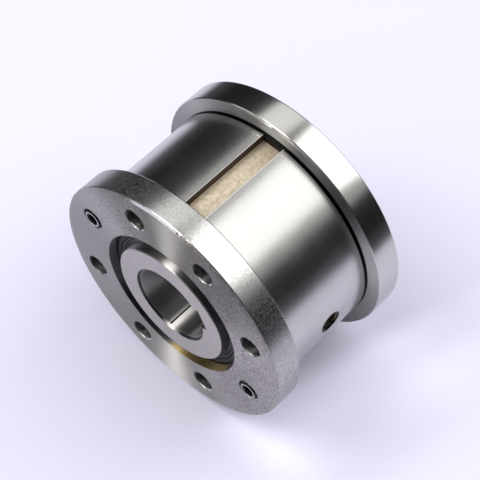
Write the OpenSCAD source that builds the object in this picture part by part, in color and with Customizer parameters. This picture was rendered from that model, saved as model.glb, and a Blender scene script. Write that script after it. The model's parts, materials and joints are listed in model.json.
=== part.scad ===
// One-way clutch bearing: a roller freewheel with two ball bearings between bolted flanges.
// The shaft turns in the inner ring. Sprung rollers on its cam profile wedge against the outer ring
// in one direction and let go in the other.
// Frame: the axis is Y, the front flange faces -Y, +Z is up and the origin is the centre of the bore.

/* [Inner ring] */
// Bore for the shaft
bore_d = 40; // [30:1:46]
// Wall of the hub, from the bore to the seat of bearings and seals
hub_wall = 12.5; // [10:0.5:16]
// How far the hub stands proud of each flange
hub_stand = 0.5; // [0.5:0.5:4]
// Chamfer at the mouths of the bore
bore_chamfer = 1.25; // [0.25:0.25:1.5]
// Chamfer at the ends of the hub
hub_chamfer = 0.5; // [0.25:0.25:1.5]
// Width of the keyway in the bore
hub_key_w = 12; // [8:1:14]
// Depth of the keyway in the bore
hub_key_depth = 3.3; // [2:0.1:4]
// Angle of the keyway in the bore, seen from the front
hub_key_angle = 27; // [0:1:359]

/* [Outer ring] */
// Wall of the ring, from the bearing seats to the outside
ring_wall = 15; // [13:0.5:20]
// Chamfer at the ends of the ring
ring_chamfer = 0.6; // [0.2:0.1:1]
// Width of the keyway along the ring
ring_key_w = 12; // [8:1:16]
// Depth of the keyway along the ring
ring_key_depth = 5; // [3:0.5:6]
// Diameter of the oil hole's thread
oil_d = 10; // [6:1:12]
// How far the oil hole sits behind the middle of the ring
oil_back = 2; // [-4:0.5:4]
// Depth of the oil hole's thread
oil_depth = 9; // [6:0.5:11]
// Diameter of the passage from the oil hole to the rollers
oil_passage_d = 5; // [2:0.5:5.5]

/* [Flanges] */
// How far both flanges stand out from the ring
flange_lip = 7.5; // [4:0.5:15]
// Thickness of a flange at its rim
flange_t = 14; // [12:0.5:18]
// Chamfer along a flange's edge towards the ring
flange_chamfer = 0.25; // [0.25:0.25:2]
// Width of the bevel round a flange's outer face
bevel_w = 2; // [0.5:0.25:3]
// Depth of that bevel at the rim
bevel_depth = 0.5; // [0.25:0.25:1.5]
// Width of the raised pad outside its bolt holes
pad_rim = 0.7; // [0.5:0.1:1.5]
// Height of the raised pad
pad_t = 0.75; // [0.5:0.25:2]
// How far the centring spigot reaches into the ring
spigot_len = 1.75; // [1:0.25:4]
// Thickness of a gasket
gasket_t = 0.5; // [0.3:0.1:1]

/* [Bolts] */
// Holes on the bolt circle
hole_count = 8; // [8:2:10]
// Distance from the outside of the ring in to the bolt circle
bolt_inset = 6.5; // [5.5:0.25:8]
// Diameter of the screws
screw_d = 6; // [5:0.5:7]
// Length of a screw under its head
screw_len = 20; // [16:1:22]
// Diameter of a screw head
head_d = 10; // [9:0.5:10.5]
// Height of a screw head
head_h = 6; // [4:0.5:6]
// Width of the hexagon socket across its flats
hex_w = 5; // [4:0.5:6]
// Diameter of a counterbore
counterbore_d = 11; // [11:0.25:12]
// Depth of a counterbore
counterbore_depth = 5.5; // [5:0.25:8]
// Depth of the tapped holes in the ring
tap_depth = 14; // [14:0.5:18]

/* [Seals] */
// Section of a shaft seal, from the hub to the flange
seal_section = 7.5; // [6:0.5:9]
// Width of a shaft seal
seal_w = 8; // [7:0.5:8]
// Depth of the seal's face below the flange face
seal_set = 4.5; // [2:0.5:5]

/* [Bearings] */
// Section of the ball bearings, from the hub to the outer ring
bearing_section = 12.5; // [11:0.5:16]
// Width of the ball bearings
bearing_w = 13; // [11:0.5:16]
// Diameter of a ball
ball_d = 7; // [6:0.5:7.5]
// Balls in each bearing
ball_count = 16; // [10:1:18]

/* [Clutch] */
// Shoulder between a bearing seat and the track that the rollers wedge against
track_lip = 1; // [0.5:0.25:2]
// Number of rollers
roller_count = 8; // [6:1:8]
// Diameter of a roller
roller_d = 10; // [8:0.5:10.5]
// Length of a roller
roller_len = 20; // [16:1:26]
// Wedge angle between ramp and track
wedge_angle = 7; // [5:0.5:8]
// How far a roller can be pushed back against its spring
roller_travel = 1.5; // [0.5:0.25:2]
// Thickness of the side plates beside the rollers
plate_t = 1.5; // [1:0.25:3]
// Diameter of a spring plunger
plunger_d = 4.2; // [3.6:0.2:4.6]
// Length of a spring plunger
plunger_len = 6; // [5:0.5:7]
// Wire of a roller spring
spring_wire = 0.45; // [0.3:0.05:0.6]

/* [Hidden] */
$fn = 96;

// Clearances
overlap = 1;
press_clear = 0.05;
running_clear = 0.05;
contact_gap = 0.05;
roller_side_gap = 0.25;
star_gap = 0.6;
plate_gap = 0.6;
plunger_clear = 0.06;
spring_clear = 0.1;
screw_clear = 0.3;
cage_clear = 0.12;

// Diameters, from the bore outwards
hub_d = bore_d + 2 * hub_wall;
seal_d = hub_d + 2 * seal_section;
bearing_d = hub_d + 2 * bearing_section;
track_d = bearing_d - 2 * track_lip;
ring_d = bearing_d + 2 * ring_wall;
bolt_circle = ring_d - 2 * bolt_inset;
flange_d = ring_d + 2 * flange_lip;

// Places along the axis, measured from the middle of the bore towards the front
star_half = roller_len / 2 + roller_side_gap;
plate_end = star_half + plate_t;
bearing_end = plate_end + bearing_w;
ring_half = bearing_end + spigot_len;
pad_face = ring_half + gasket_t;
flange_back = pad_face + pad_t;
flange_face = flange_back + flange_t;
hub_half = flange_face + hub_stand;
seal_face = flange_face - seal_set;
head_seat = flange_face - counterbore_depth;

// Bearing section, with the gap between the races as a share of the ball
pitch_r = (hub_d + bearing_d) / 4;
race_open_share = 0.74;
race_open = race_open_share * ball_d;
inner_race_r = pitch_r - race_open / 2;
outer_race_r = pitch_r + race_open / 2;
race_chamfer = 0.4;
cage_t = 2;
cage_rim = 1.5;
cage_w = ball_d + 2 * cage_rim;

// Seal section
seal_stop_w = 2;
seal_wall = 1.6;
seal_mouth = 0.4;
garter_d = 1.4;
garter_fn = 32;
lip_r = hub_d / 2 + running_clear;
seal_web = seal_d / 2 - lip_r;
// Lips and ridges of the seal: [share of the web outwards, share of the width inwards] for each point
SEAL_LIPS = [
  [0.38, 0.2], [0.33, 0.35], [0.28, 0.8], [0.05, 0.85], [0, 0.65], [0.2, 0.28], [0.16, 0.18], [0, 0.05],
  [0.05, 0], [0.25, 0.1], [0.36, 0], [0.46, 0], [0.52, 0.075], [0.68, 0.075], [0.74, 0]
];
// Place on the sealing lip where the garter spring sits, in the same shares
GARTER_SEAT = [0.3, 0.62];

// Bolt holes
clear_hole_d = screw_d + 2 * screw_clear;
pad_d = bolt_circle + clear_hole_d + 2 * pad_rim;
hole_mouth = 0.5;
screw_every = hole_count / 2;
screw_turn = 0.375;
screw_first = floor(screw_turn * hole_count);
screw_edge = 0.5;
hex_depth = head_h / 2;
hex_sides = 6;

// Ramp pocket, in a frame with y along the radius and x along the wedging direction
orbit_r = track_d / 2 - roller_d / 2 - contact_gap;
roller_x = orbit_r * sin(wedge_angle);
roller_y = orbit_r * cos(wedge_angle);
ramp_y = roller_y - roller_d / 2 - contact_gap;
star_r = track_d / 2 - star_gap;
pocket_end_gap = 0.8;
pocket_left = roller_x - roller_d / 2 - roller_travel - pocket_end_gap;
pocket_right = roller_x + roller_d / 2 + pocket_end_gap;
pocket_first = hub_key_angle + 180 / roller_count;

// Plunger and spring, along x in the pocket's frame
plunger_drop = 0.7;
plunger_y = roller_y - plunger_drop;
plunger_nose = roller_x - roller_d / 2 - contact_gap;
plunger_tail = plunger_nose - plunger_len;
cup_share = 0.6;
cup_depth = cup_share * plunger_len;
cup_wall = 0.6;
cup_d = plunger_d - 2 * cup_wall;
spring_room = 3.2;
spring_bottom = plunger_tail - roller_travel - spring_room;
spring_top = plunger_nose - (plunger_len - cup_depth);
spring_d = cup_d - 2 * spring_clear;
spring_turns = 6;
spring_steps = 10;
spring_sides = 6;
roller_edge = 0.4;

// Oil hole
oil_mouth = 1;

steel = "#9b9a9e";
ground_steel = "#b9b8bb";
bearing_steel = "#a9acb1";
dark_steel = "#4a4a4c";
brass_cage = "#b08d4a";
rubber_black = "#1b1a1c";

ENDS = ["front", "rear"];
ROLLERS = [for (k = [1:roller_count]) k];
END_PIECES = ["flange", "gasket", "screws", "seal", "garter_spring", "outer_race", "inner_race", "cage",
  "balls", "side_plate"];
ROLLER_PIECES = ["roller", "plunger", "roller_spring"];

// Lays the axis along Y, with local z pointing to the front
module lay() {
  rotate([90, 0, 0]) children();
}

// Turns a front piece round to the rear, as its mirror image
module at_end(end) {
  if (end == "front") lay() children();
  else lay() mirror([0, 0, 1]) children();
}

// Places a piece drawn in the pocket's frame at pocket k
module at_pocket(k) {
  rotate([0, 0, pocket_first + 360 * (k - 1) / roller_count - 90]) children();
}

// Places a piece at hole k of the bolt circle
module at_hole(k) {
  rotate([0, 0, 360 * (k + 0.5) / hole_count]) translate([bolt_circle / 2, 0, 0]) children();
}

// A solid of revolution from an outline of [radius, height] points
module turned(outline) {
  rotate_extrude() polygon(outline);
}

// A cone that chamfers the mouth of a hole of diameter d at height 0 and goes on as far above it
module mouth_cut(d, chamfer) {
  translate([0, 0, -chamfer]) cylinder(h = 2 * chamfer, d1 = d, d2 = d + 4 * chamfer);
}

// Outer ring: bearing seats at both ends, the roller track between them
module outer_ring() {
  outer_r = ring_d / 2;
  seat_r = bearing_d / 2;
  track_r = track_d / 2;
  edge_r = outer_r - ring_chamfer;
  edge_z = ring_half - ring_chamfer;
  color(ground_steel) lay() difference() {
    turned([
      [seat_r, -ring_half], [edge_r, -ring_half], [outer_r, -edge_z], [outer_r, edge_z],
      [edge_r, ring_half], [seat_r, ring_half], [seat_r, plate_end], [track_r, plate_end],
      [track_r, -plate_end], [seat_r, -plate_end]
    ]);
    translate([-ring_key_w / 2, outer_r - ring_key_depth, -ring_half - overlap])
      cube([ring_key_w, ring_key_depth + overlap, 2 * (ring_half + overlap)]);
    for (side = [0, 1]) mirror([0, 0, side]) for (k = [0:hole_count - 1]) at_hole(k)
      translate([0, 0, ring_half - tap_depth]) cylinder(h = tap_depth + overlap, d = screw_d);
    translate([0, 0, -oil_back]) rotate([0, 90, 0]) {
      translate([0, 0, outer_r - oil_depth]) cylinder(h = oil_depth + overlap, d = oil_d);
      translate([0, 0, track_r - overlap]) cylinder(h = outer_r - track_r, d = oil_passage_d);
      translate([0, 0, outer_r]) mouth_cut(oil_d, oil_mouth);
    }
  }
}

// Ramp pocket and spring bore of one roller, as the cut that makes them
module pocket_cut() {
  translate([pocket_left, ramp_y, -star_half - overlap])
    cube([pocket_right - pocket_left, track_d / 2 - ramp_y, 2 * (star_half + overlap)]);
  translate([spring_bottom, plunger_y, 0]) rotate([0, 90, 0])
    cylinder(h = pocket_left - spring_bottom + overlap, d = plunger_d + 2 * plunger_clear);
}

// Inner ring: hub, cam profile with its ramps, and the keyed bore for the shaft
module inner_ring() {
  hub_r = hub_d / 2;
  bore_r = bore_d / 2;
  color(ground_steel) lay() difference() {
    turned([
      [bore_r + bore_chamfer, -hub_half], [hub_r - hub_chamfer, -hub_half],
      [hub_r, hub_chamfer - hub_half], [hub_r, -star_half], [star_r, -star_half],
      [star_r, star_half], [hub_r, star_half], [hub_r, hub_half - hub_chamfer],
      [hub_r - hub_chamfer, hub_half], [bore_r + bore_chamfer, hub_half],
      [bore_r, hub_half - bore_chamfer], [bore_r, bore_chamfer - hub_half]
    ]);
    rotate([0, 0, hub_key_angle]) translate([0, -hub_key_w / 2, -hub_half - overlap])
      cube([bore_r + hub_key_depth, hub_key_w, 2 * (hub_half + overlap)]);
    for (k = ROLLERS) at_pocket(k) pocket_cut();
  }
}

// Flange: rim, raised pad for the ring, centring spigot, seal seat and counterbored holes
module flange(end) {
  rim_r = flange_d / 2;
  edge_r = rim_r - flange_chamfer;
  spigot_r = bearing_d / 2 - press_clear;
  seal_r = seal_d / 2;
  stop_r = seal_r - seal_stop_w;
  seal_back = seal_face - seal_w;
  color(steel) at_end(end) difference() {
    turned([
      [stop_r, bearing_end], [spigot_r, bearing_end], [spigot_r, pad_face], [pad_d / 2, pad_face],
      [pad_d / 2, flange_back], [edge_r, flange_back], [rim_r, flange_back + flange_chamfer],
      [rim_r, flange_face - bevel_depth], [rim_r - bevel_w, flange_face], [seal_r + seal_mouth, flange_face],
      [seal_r, flange_face - seal_mouth], [seal_r, seal_back], [stop_r, seal_back]
    ]);
    for (k = [0:hole_count - 1]) at_hole(k) {
      translate([0, 0, bearing_end]) cylinder(h = flange_face - bearing_end, d = clear_hole_d);
      translate([0, 0, head_seat]) cylinder(h = counterbore_depth + overlap, d = counterbore_d);
      translate([0, 0, flange_face]) mouth_cut(counterbore_d, hole_mouth);
    }
  }
}

// Gasket between the ring and the raised pad of a flange
module gasket(end) {
  color(rubber_black) at_end(end) difference() {
    turned([
      [bearing_d / 2, ring_half], [pad_d / 2, ring_half], [pad_d / 2, pad_face], [bearing_d / 2, pad_face]
    ]);
    for (k = [0:hole_count - 1]) at_hole(k)
      translate([0, 0, ring_half - overlap]) cylinder(h = gasket_t + 2 * overlap, d = clear_hole_d);
  }
}

// Two socket-head cap screws in opposite holes
module screws(end) {
  head_r = head_d / 2;
  shank_r = screw_d / 2 - press_clear;
  top = head_seat + head_h;
  tip = head_seat - screw_len;
  color(dark_steel) at_end(end) for (k = [screw_first, screw_first + screw_every]) at_hole(k) difference() {
    turned([
      [0, tip], [shank_r - screw_edge, tip], [shank_r, tip + screw_edge], [shank_r, head_seat],
      [head_r, head_seat], [head_r, top - screw_edge], [head_r - screw_edge, top], [0, top]
    ]);
    translate([0, 0, top - hex_depth])
      cylinder(h = hex_depth + overlap, d = hex_w / cos(180 / hex_sides), $fn = hex_sides);
  }
}

// Rubber shaft seal: outer wall, ridged face, dust lip and sprung sealing lip
module seal(end) {
  outer_r = seal_d / 2;
  wall_r = outer_r - seal_wall;
  lips = [for (p = SEAL_LIPS) [lip_r + p[0] * seal_web, -p[1] * seal_w]];
  color(rubber_black) at_end(end) translate([0, 0, seal_face]) turned(concat(
    [[outer_r, 0], [outer_r, -seal_w], [wall_r, -seal_w], [wall_r, -seal_wall]], lips
  ));
}

// Garter spring that presses the sealing lip on the hub
module garter_spring(end) {
  ring_r = lip_r + GARTER_SEAT[0] * seal_web + garter_d / 2 + contact_gap;
  color(bearing_steel) at_end(end) translate([0, 0, seal_face - GARTER_SEAT[1] * seal_w])
    rotate_extrude() translate([ring_r, 0]) circle(d = garter_d, $fn = garter_fn);
}

// Groove of a bearing race, as the circle that cuts it
module race_groove() {
  translate([pitch_r, plate_end + bearing_w / 2]) circle(d = ball_d + 2 * running_clear);
}

// A bearing ring between two radii, with chamfered corners
module race_section(r1, r2) {
  translate([r1, plate_end]) difference() {
    square([r2 - r1, bearing_w]);
    for (x = [0, r2 - r1]) for (y = [0, bearing_w])
      translate([x, y]) rotate(45) square(race_chamfer * sqrt(2), center = true);
  }
}

module outer_race(end) {
  color(bearing_steel) at_end(end) rotate_extrude() difference() {
    race_section(outer_race_r, bearing_d / 2);
    race_groove();
  }
}

module inner_race(end) {
  color(bearing_steel) at_end(end) rotate_extrude() difference() {
    race_section(hub_d / 2, inner_race_r);
    race_groove();
  }
}

// Places a piece at each ball of a bearing
module at_balls() {
  for (k = [0:ball_count - 1]) rotate([0, 0, 360 * k / ball_count])
    translate([pitch_r, 0, plate_end + bearing_w / 2]) children();
}

// Machined cage with one round pocket for each ball
module cage(end) {
  color(brass_cage) at_end(end) difference() {
    translate([0, 0, plate_end + (bearing_w - cage_w) / 2]) difference() {
      cylinder(h = cage_w, r = pitch_r + cage_t / 2);
      translate([0, 0, -overlap]) cylinder(h = cage_w + 2 * overlap, r = pitch_r - cage_t / 2);
    }
    at_balls() rotate([0, 90, 0]) cylinder(h = 2 * cage_t, d = ball_d + 2 * cage_clear, center = true);
  }
}

module balls(end) {
  color(bearing_steel) at_end(end) at_balls() sphere(d = ball_d);
}

// Side plate that keeps the rollers in their pockets
module side_plate(end) {
  color(steel) at_end(end) translate([0, 0, star_half]) difference() {
    cylinder(h = plate_t, r = outer_race_r - plate_gap);
    translate([0, 0, -overlap]) cylinder(h = plate_t + 2 * overlap, d = hub_d);
  }
}

// Clamping roller, at rest against its ramp and the track
module roller(k) {
  r = roller_d / 2;
  half = roller_len / 2;
  color(bearing_steel) lay() at_pocket(k) translate([roller_x, roller_y, 0]) turned([
    [0, -half], [r - roller_edge, -half], [r, roller_edge - half], [r, half - roller_edge],
    [r - roller_edge, half], [0, half]
  ]);
}

// Spring plunger: a cup that pushes the roller into the wedge
module plunger(k) {
  r = plunger_d / 2;
  color(dark_steel) lay() at_pocket(k) translate([plunger_tail, plunger_y, 0]) rotate([0, 90, 0]) turned([
    [cup_d / 2, 0], [r, 0], [r, plunger_len - roller_edge], [r - roller_edge, plunger_len],
    [0, plunger_len], [0, cup_depth], [cup_d / 2, cup_depth]
  ]);
}

// Coil spring along z: a round wire swept along a helix
module coil(d, wire, length) {
  rings = spring_turns * spring_steps;
  mean_r = (d - wire) / 2;
  rise = (length - wire) / rings;
  points = [
    for (i = [0:rings]) for (j = [0:spring_sides - 1])
      let (turn = 360 * i / spring_steps, side = 360 * j / spring_sides, r = mean_r + cos(side) * wire / 2)
        [r * cos(turn), r * sin(turn), wire / 2 + i * rise + sin(side) * wire / 2]
  ];
  walls = [
    for (i = [0:rings - 1]) for (j = [0:spring_sides - 1])
      let (a = i * spring_sides + j, b = i * spring_sides + (j + 1) % spring_sides)
        [a, a + spring_sides, b + spring_sides, b]
  ];
  first_cap = [for (j = [0:spring_sides - 1]) j];
  last_cap = [for (j = [spring_sides - 1:-1:0]) rings * spring_sides + j];
  polyhedron(points, concat(walls, [first_cap, last_cap]));
}

// Coil spring between the bottom of its bore and the plunger's cup
module roller_spring(k) {
  color(dark_steel) lay() at_pocket(k) translate([spring_bottom, plunger_y, 0]) rotate([0, 90, 0])
    coil(spring_d, spring_wire, spring_top - spring_bottom);
}

outer_ring();
inner_ring();
for (end = ENDS) {
  flange(end);
  gasket(end);
  screws(end);
  seal(end);
  garter_spring(end);
  outer_race(end);
  inner_race(end);
  cage(end);
  balls(end);
  side_plate(end);
}
for (k = ROLLERS) {
  roller(k);
  plunger(k);
  roller_spring(k);
}
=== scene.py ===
# %% [markdown]
# # One-way clutch bearing
# The real object is a freewheel: a keyed hub turns on two ball bearings inside a keyed outer ring, and
# sprung rollers between them lock one direction. Turned, ground and polished steel makes up nearly all that
# shows, so this lesson is mostly about metal: smooth surfaces, fine tool marks, and a studio whose
# reflections draw the shape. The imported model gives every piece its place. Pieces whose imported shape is
# right keep it and only get a finish; flanges, seals, screws and springs are rebuilt here as finer
# surfaces.

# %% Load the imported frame
import json
import math
from collections import namedtuple

import bmesh
import bpy
import numpy as np
from mathutils import Matrix, Vector


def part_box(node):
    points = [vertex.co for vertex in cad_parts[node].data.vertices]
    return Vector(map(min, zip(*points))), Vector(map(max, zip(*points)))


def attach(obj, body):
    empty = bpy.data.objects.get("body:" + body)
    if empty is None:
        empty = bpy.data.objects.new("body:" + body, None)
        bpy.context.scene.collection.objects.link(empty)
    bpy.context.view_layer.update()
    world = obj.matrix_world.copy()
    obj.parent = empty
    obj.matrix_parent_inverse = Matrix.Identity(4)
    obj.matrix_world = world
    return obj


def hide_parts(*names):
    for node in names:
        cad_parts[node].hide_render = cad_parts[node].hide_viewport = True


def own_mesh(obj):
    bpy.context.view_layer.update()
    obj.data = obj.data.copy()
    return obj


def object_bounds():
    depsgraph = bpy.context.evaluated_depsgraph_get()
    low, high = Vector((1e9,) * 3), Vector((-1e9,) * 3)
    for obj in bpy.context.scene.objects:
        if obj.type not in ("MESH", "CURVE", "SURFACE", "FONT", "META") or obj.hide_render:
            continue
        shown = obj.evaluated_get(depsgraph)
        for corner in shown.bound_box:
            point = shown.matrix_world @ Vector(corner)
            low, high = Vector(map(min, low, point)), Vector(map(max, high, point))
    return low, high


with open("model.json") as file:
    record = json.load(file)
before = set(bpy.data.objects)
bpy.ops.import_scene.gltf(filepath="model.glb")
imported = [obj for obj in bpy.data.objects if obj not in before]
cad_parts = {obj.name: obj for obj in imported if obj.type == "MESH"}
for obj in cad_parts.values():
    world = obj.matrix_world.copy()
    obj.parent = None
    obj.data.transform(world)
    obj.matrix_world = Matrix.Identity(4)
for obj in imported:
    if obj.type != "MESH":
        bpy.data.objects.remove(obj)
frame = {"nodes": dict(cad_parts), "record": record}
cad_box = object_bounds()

MM = 0.001
ENDS = {"front": 1.0, "rear": -1.0}

# %% [markdown]
# ## Camera
# The photograph looks down on the part from the front right. Its lens and place were worked out from the
# circles of the flanges, whose ellipses fix the view to under a pixel. A camera can be aimed with a
# constraint, but its three axes written as a matrix leave nothing to chance.

# %% Camera at the photograph's angle
LENS = 117.0
EYE = (0.2635, -0.2938, 0.6235)
SIDE = (0.7338, 0.6792, 0.0160)
UP = (-0.5782, 0.6120, 0.5396)

view = bpy.data.objects.new("camera", bpy.data.cameras.new("camera"))
view.data.lens = LENS
view.data.sensor_width = 36.0
back = Vector(SIDE).cross(Vector(UP))
axes = Matrix((SIDE, UP, back)).transposed()
view.matrix_world = Matrix.LocRotScale(Vector(EYE), axes.to_quaternion(), None)
scene = bpy.context.scene
scene.collection.objects.link(view)
scene.camera = view
scene.view_settings.view_transform = "Standard"
print("camera", round(math.degrees(math.asin(back.z)), 1), "degrees above the floor")

# %% [markdown]
# ## Studio
# Polished steel shows its surroundings, not itself. In the photograph each round surface runs through the
# same bands: pale floor, dark room, a broad white lamp, a narrower one, dark room, pale floor. Three long
# soft boxes along the axis make these bands, and three lamps at the front light the turned faces, the bore
# and the hub. A painted environment picture could do the same, but lamps stay plain numbers. The
# photograph's sheet of paper ends nearby, so in reflections the floor goes dark further out, while straight
# seen it stays pale. Beside the part, a strip of the paper is lighter to the camera, because the
# photograph's shadow is soft there.

# %% Node helpers
def node(tree, kind, values=(), **settings):
    """Adds a shader node. values maps an input's name or number to a constant or to another node's output."""
    made = tree.nodes.new("ShaderNode" + kind)
    for key, value in settings.items():
        setattr(made, key, value)
    for key, value in dict(values).items():
        if isinstance(value, bpy.types.NodeSocket):
            tree.links.new(value, made.inputs[key])
        else:
            made.inputs[key].default_value = value
    return made


def maths(tree, operation, a, b=0.0):
    """One Math node's output."""
    return node(tree, "Math", {0: a, 1: b}, operation=operation).outputs[0]


def product(tree, first, *others):
    """Outputs and constants multiplied with each other."""
    for other in others:
        first = maths(tree, "MULTIPLY", first, other)
    return first


def total(tree, first, *others):
    """Outputs and constants added up."""
    for other in others:
        first = maths(tree, "ADD", first, other)
    return first


def vector(tree, operation, a, b=(0.0, 0.0, 0.0)):
    """One Vector Math node's outputs."""
    return node(tree, "VectorMath", {0: a, 1: b}, operation=operation).outputs


def between(tree, amount, a, b):
    """Number a where amount is 0, b where it is 1."""
    return node(tree, "MapRange", {0: amount, 3: a, 4: b}).outputs[0]


def ramp(tree, value, low, high, to_low=0.0, to_high=1.0):
    """Smooth step: to_low below low, to_high above high, and an S-shaped rise between them."""
    inputs = {0: value, 1: low, 2: high, 3: to_low, 4: to_high}
    return node(tree, "MapRange", inputs, interpolation_type="SMOOTHSTEP").outputs[0]


def fall(tree, value, low, high):
    """The other way round: 1 below low, 0 above high."""
    return ramp(tree, value, low, high, 1.0, 0.0)


def band(tree, value, start, full, still, end):
    """Mask of a stretch: rises from start to full, stays 1 up to still, and falls to 0 at end."""
    return product(tree, ramp(tree, value, start, full), fall(tree, value, still, end))


def blended(tree, amount, a, b):
    """Colour a where amount is 0, b where it is 1."""
    made = node(tree, "Mix", {0: amount}, data_type="RGBA")
    for socket, colour in ((made.inputs[6], a), (made.inputs[7], b)):
        if isinstance(colour, bpy.types.NodeSocket):
            tree.links.new(colour, socket)
        else:
            socket.default_value = (*colour, 1.0)
    return made.outputs[2]


def layered(tree, base, *layers):
    """Colour base under layers, each a mask and the colour that it lays on."""
    for mask, colour in layers:
        base = blended(tree, mask, base, colour)
    return base


# %% World
AMBIENT = 0.66
SKY = (0.92, 0.92, 1.08, 1.0)
ROOM, FRONT_ROOM = 0.012, 0.12
FRONT_ROOM_HEIGHTS, FRONT_ROOM_SIDES = (0.40, 0.70), (0.35, 0.75)

world = bpy.data.worlds.new("studio")
world.use_nodes = True
tree = world.node_tree
tree.nodes.clear()
way = node(tree, "SeparateXYZ", {0: node(tree, "TexCoord").outputs["Generated"]}).outputs
low = ramp(tree, way["Z"], *FRONT_ROOM_HEIGHTS, FRONT_ROOM, ROOM)
room = ramp(tree, maths(tree, "ABSOLUTE", way["X"]), *FRONT_ROOM_SIDES, low, ROOM)
level = between(tree, node(tree, "LightPath").outputs["Is Diffuse Ray"], room, AMBIENT)
sky = node(tree, "Background", {"Color": SKY, "Strength": level})
tree.links.new(sky.outputs[0], node(tree, "OutputWorld").inputs["Surface"])
scene.world = world
print("world: ambient", AMBIENT, "and room", ROOM)


# %% Lamps
def soft_box(name, towards, width, length, radiance, away=3.0, along=(0.0, 1.0, 0.0)):
    """A rectangular lamp in the direction towards, facing the origin, with its length along the given way."""
    lamp = bpy.data.lights.new(name, "AREA")
    lamp.shape = "RECTANGLE"
    lamp.size, lamp.size_y = width, length
    lamp.energy = radiance * math.pi * width * length
    made = bpy.data.objects.new(name, lamp)
    out = Vector(towards).normalized()
    across = Vector(along).cross(out).normalized()
    axes = Matrix((across, out.cross(across), out)).transposed()
    made.matrix_world = Matrix.LocRotScale(out * away, axes.to_quaternion(), None)
    made.visible_camera = False
    scene.collection.objects.link(made)


soft_box("broad lamp", (0.286, 0.52, 0.797), width=2.6, length=3.6, radiance=2.0)
soft_box("strip lamp", (-0.438, 0.02, 0.811), width=1.45, length=4.4, radiance=0.95)
soft_box("edge lamp", (0.709, 0.45, 0.541), width=0.62, length=3.0, radiance=0.40)
soft_box("high front lamp", (-0.385, -0.39, 0.84), width=1.05, length=1.7, radiance=9.0,
         along=(0.0, 0.88, 0.47))
soft_box("low front lamp", (-0.385, -0.80, 0.462), width=0.36, length=2.1, radiance=2.4,
         along=(0.0, 0.5, 0.87))
soft_box("front fill", (-0.387, -0.86, 0.322), width=4.2, length=1.2, radiance=0.7, away=3.2,
         along=(0.0, 0.34, 0.93))

# %% Floor
FLOOR = 6.0
floor_z = cad_box[0].z
mesh = bpy.data.meshes.new("floor")
corners = np.array([[-1, -1, 0], [1, -1, 0], [1, 1, 0], [-1, 1, 0]]) * FLOOR + [0, 0, floor_z]
mesh.from_pydata(corners.tolist(), [], [(0, 1, 2, 3)])
floor = bpy.data.objects.new("floor", mesh)
scene.collection.objects.link(floor)
print("floor at", round(floor_z / MM, 2), "mm")

# %% Paper of the floor
PAPER, LIT_PAPER, PAST_THE_SHEET = (0.59, 0.58, 0.655), (0.80, 0.785, 0.885), (0.03, 0.03, 0.03)
SHEET_MIDDLE, SHEET_NEAR, SHEET_FAR = (0.03, 0.02, 0.0), 0.28, 0.46
LIT_SLANT = -0.3
LIT_ACROSS = (0.040, 0.058, 0.070, 0.110)
LIT_FRONT, LIT_BACK, LIT_LEFT_OVER = (-0.06, -0.03), (0.045, 0.09), 0.2

paper = bpy.data.materials.new("pale paper")
paper.use_nodes = True
tree = paper.node_tree
point = node(tree, "TexCoord").outputs["Object"]
spot = node(tree, "SeparateXYZ", {0: point}).outputs
path = node(tree, "LightPath").outputs
beyond = ramp(tree, vector(tree, "DISTANCE", point, SHEET_MIDDLE)["Value"], SHEET_NEAR, SHEET_FAR)
beside = total(tree, spot["X"], product(tree, spot["Y"], LIT_SLANT))
lit = product(tree, band(tree, beside, *LIT_ACROSS), ramp(tree, spot["Y"], *LIT_FRONT),
              ramp(tree, spot["Y"], *LIT_BACK, 1.0, LIT_LEFT_OVER), path["Is Camera Ray"])
mirrored = product(tree, beyond, path["Is Glossy Ray"])
shader = tree.nodes["Principled BSDF"].inputs
shader["Roughness"].default_value = 0.9
shader["Specular IOR Level"].default_value = 0.1
sheet = layered(tree, blended(tree, lit, PAPER, LIT_PAPER), (mirrored, PAST_THE_SHEET))
tree.links.new(sheet, shader["Base Color"])
mesh.materials.append(paper)
print("paper pale within", SHEET_NEAR, "m of its middle")

# %% [markdown]
# ## Surface effects
# Tool marks, smudges, grain and rust freckles come back on several pieces. Each is a node group with named
# sockets, built once and placed in a material with that material's values. They read Object coordinates,
# because every piece sits at the origin with its place in its mesh, so a mark stays where it is when the
# piece turns.

# %% Effect group helpers
Spot = namedtuple("Spot", "radius cosine sine x y z")


def effect(name, inputs, output):
    """An empty node group with number sockets. inputs maps a name to its default."""
    group = bpy.data.node_groups.new(name, "ShaderNodeTree")
    for key, value in inputs.items():
        group.interface.new_socket(key, in_out="INPUT", socket_type="NodeSocketFloat").default_value = value
    group.interface.new_socket(output, in_out="OUTPUT", socket_type="NodeSocketFloat")
    return group, group.nodes.new("NodeGroupInput").outputs, group.nodes.new("NodeGroupOutput").inputs


def polar(tree):
    """A point's radius from the axis, cosine and sine of its angle, and its Object coordinates, in mm."""
    at = vector(tree, "MULTIPLY", node(tree, "TexCoord").outputs["Object"], (1 / MM,) * 3)[0]
    x, y, z = node(tree, "SeparateXYZ", {0: at}).outputs
    radius = vector(tree, "LENGTH", node(tree, "CombineXYZ", {0: x, 1: 0.0, 2: z}).outputs[0])["Value"]
    return Spot(radius, maths(tree, "DIVIDE", x, radius), maths(tree, "DIVIDE", z, radius), x, y, z)


def noise(tree, scale, detail, roughness, point=None):
    """Noise at a point, or else at the Object coordinates."""
    where = node(tree, "TexCoord").outputs["Object"] if point is None else point
    inputs = {"Vector": where, "Scale": scale, "Detail": detail, "Roughness": roughness}
    return node(tree, "TexNoise", inputs).outputs[0]


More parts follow.
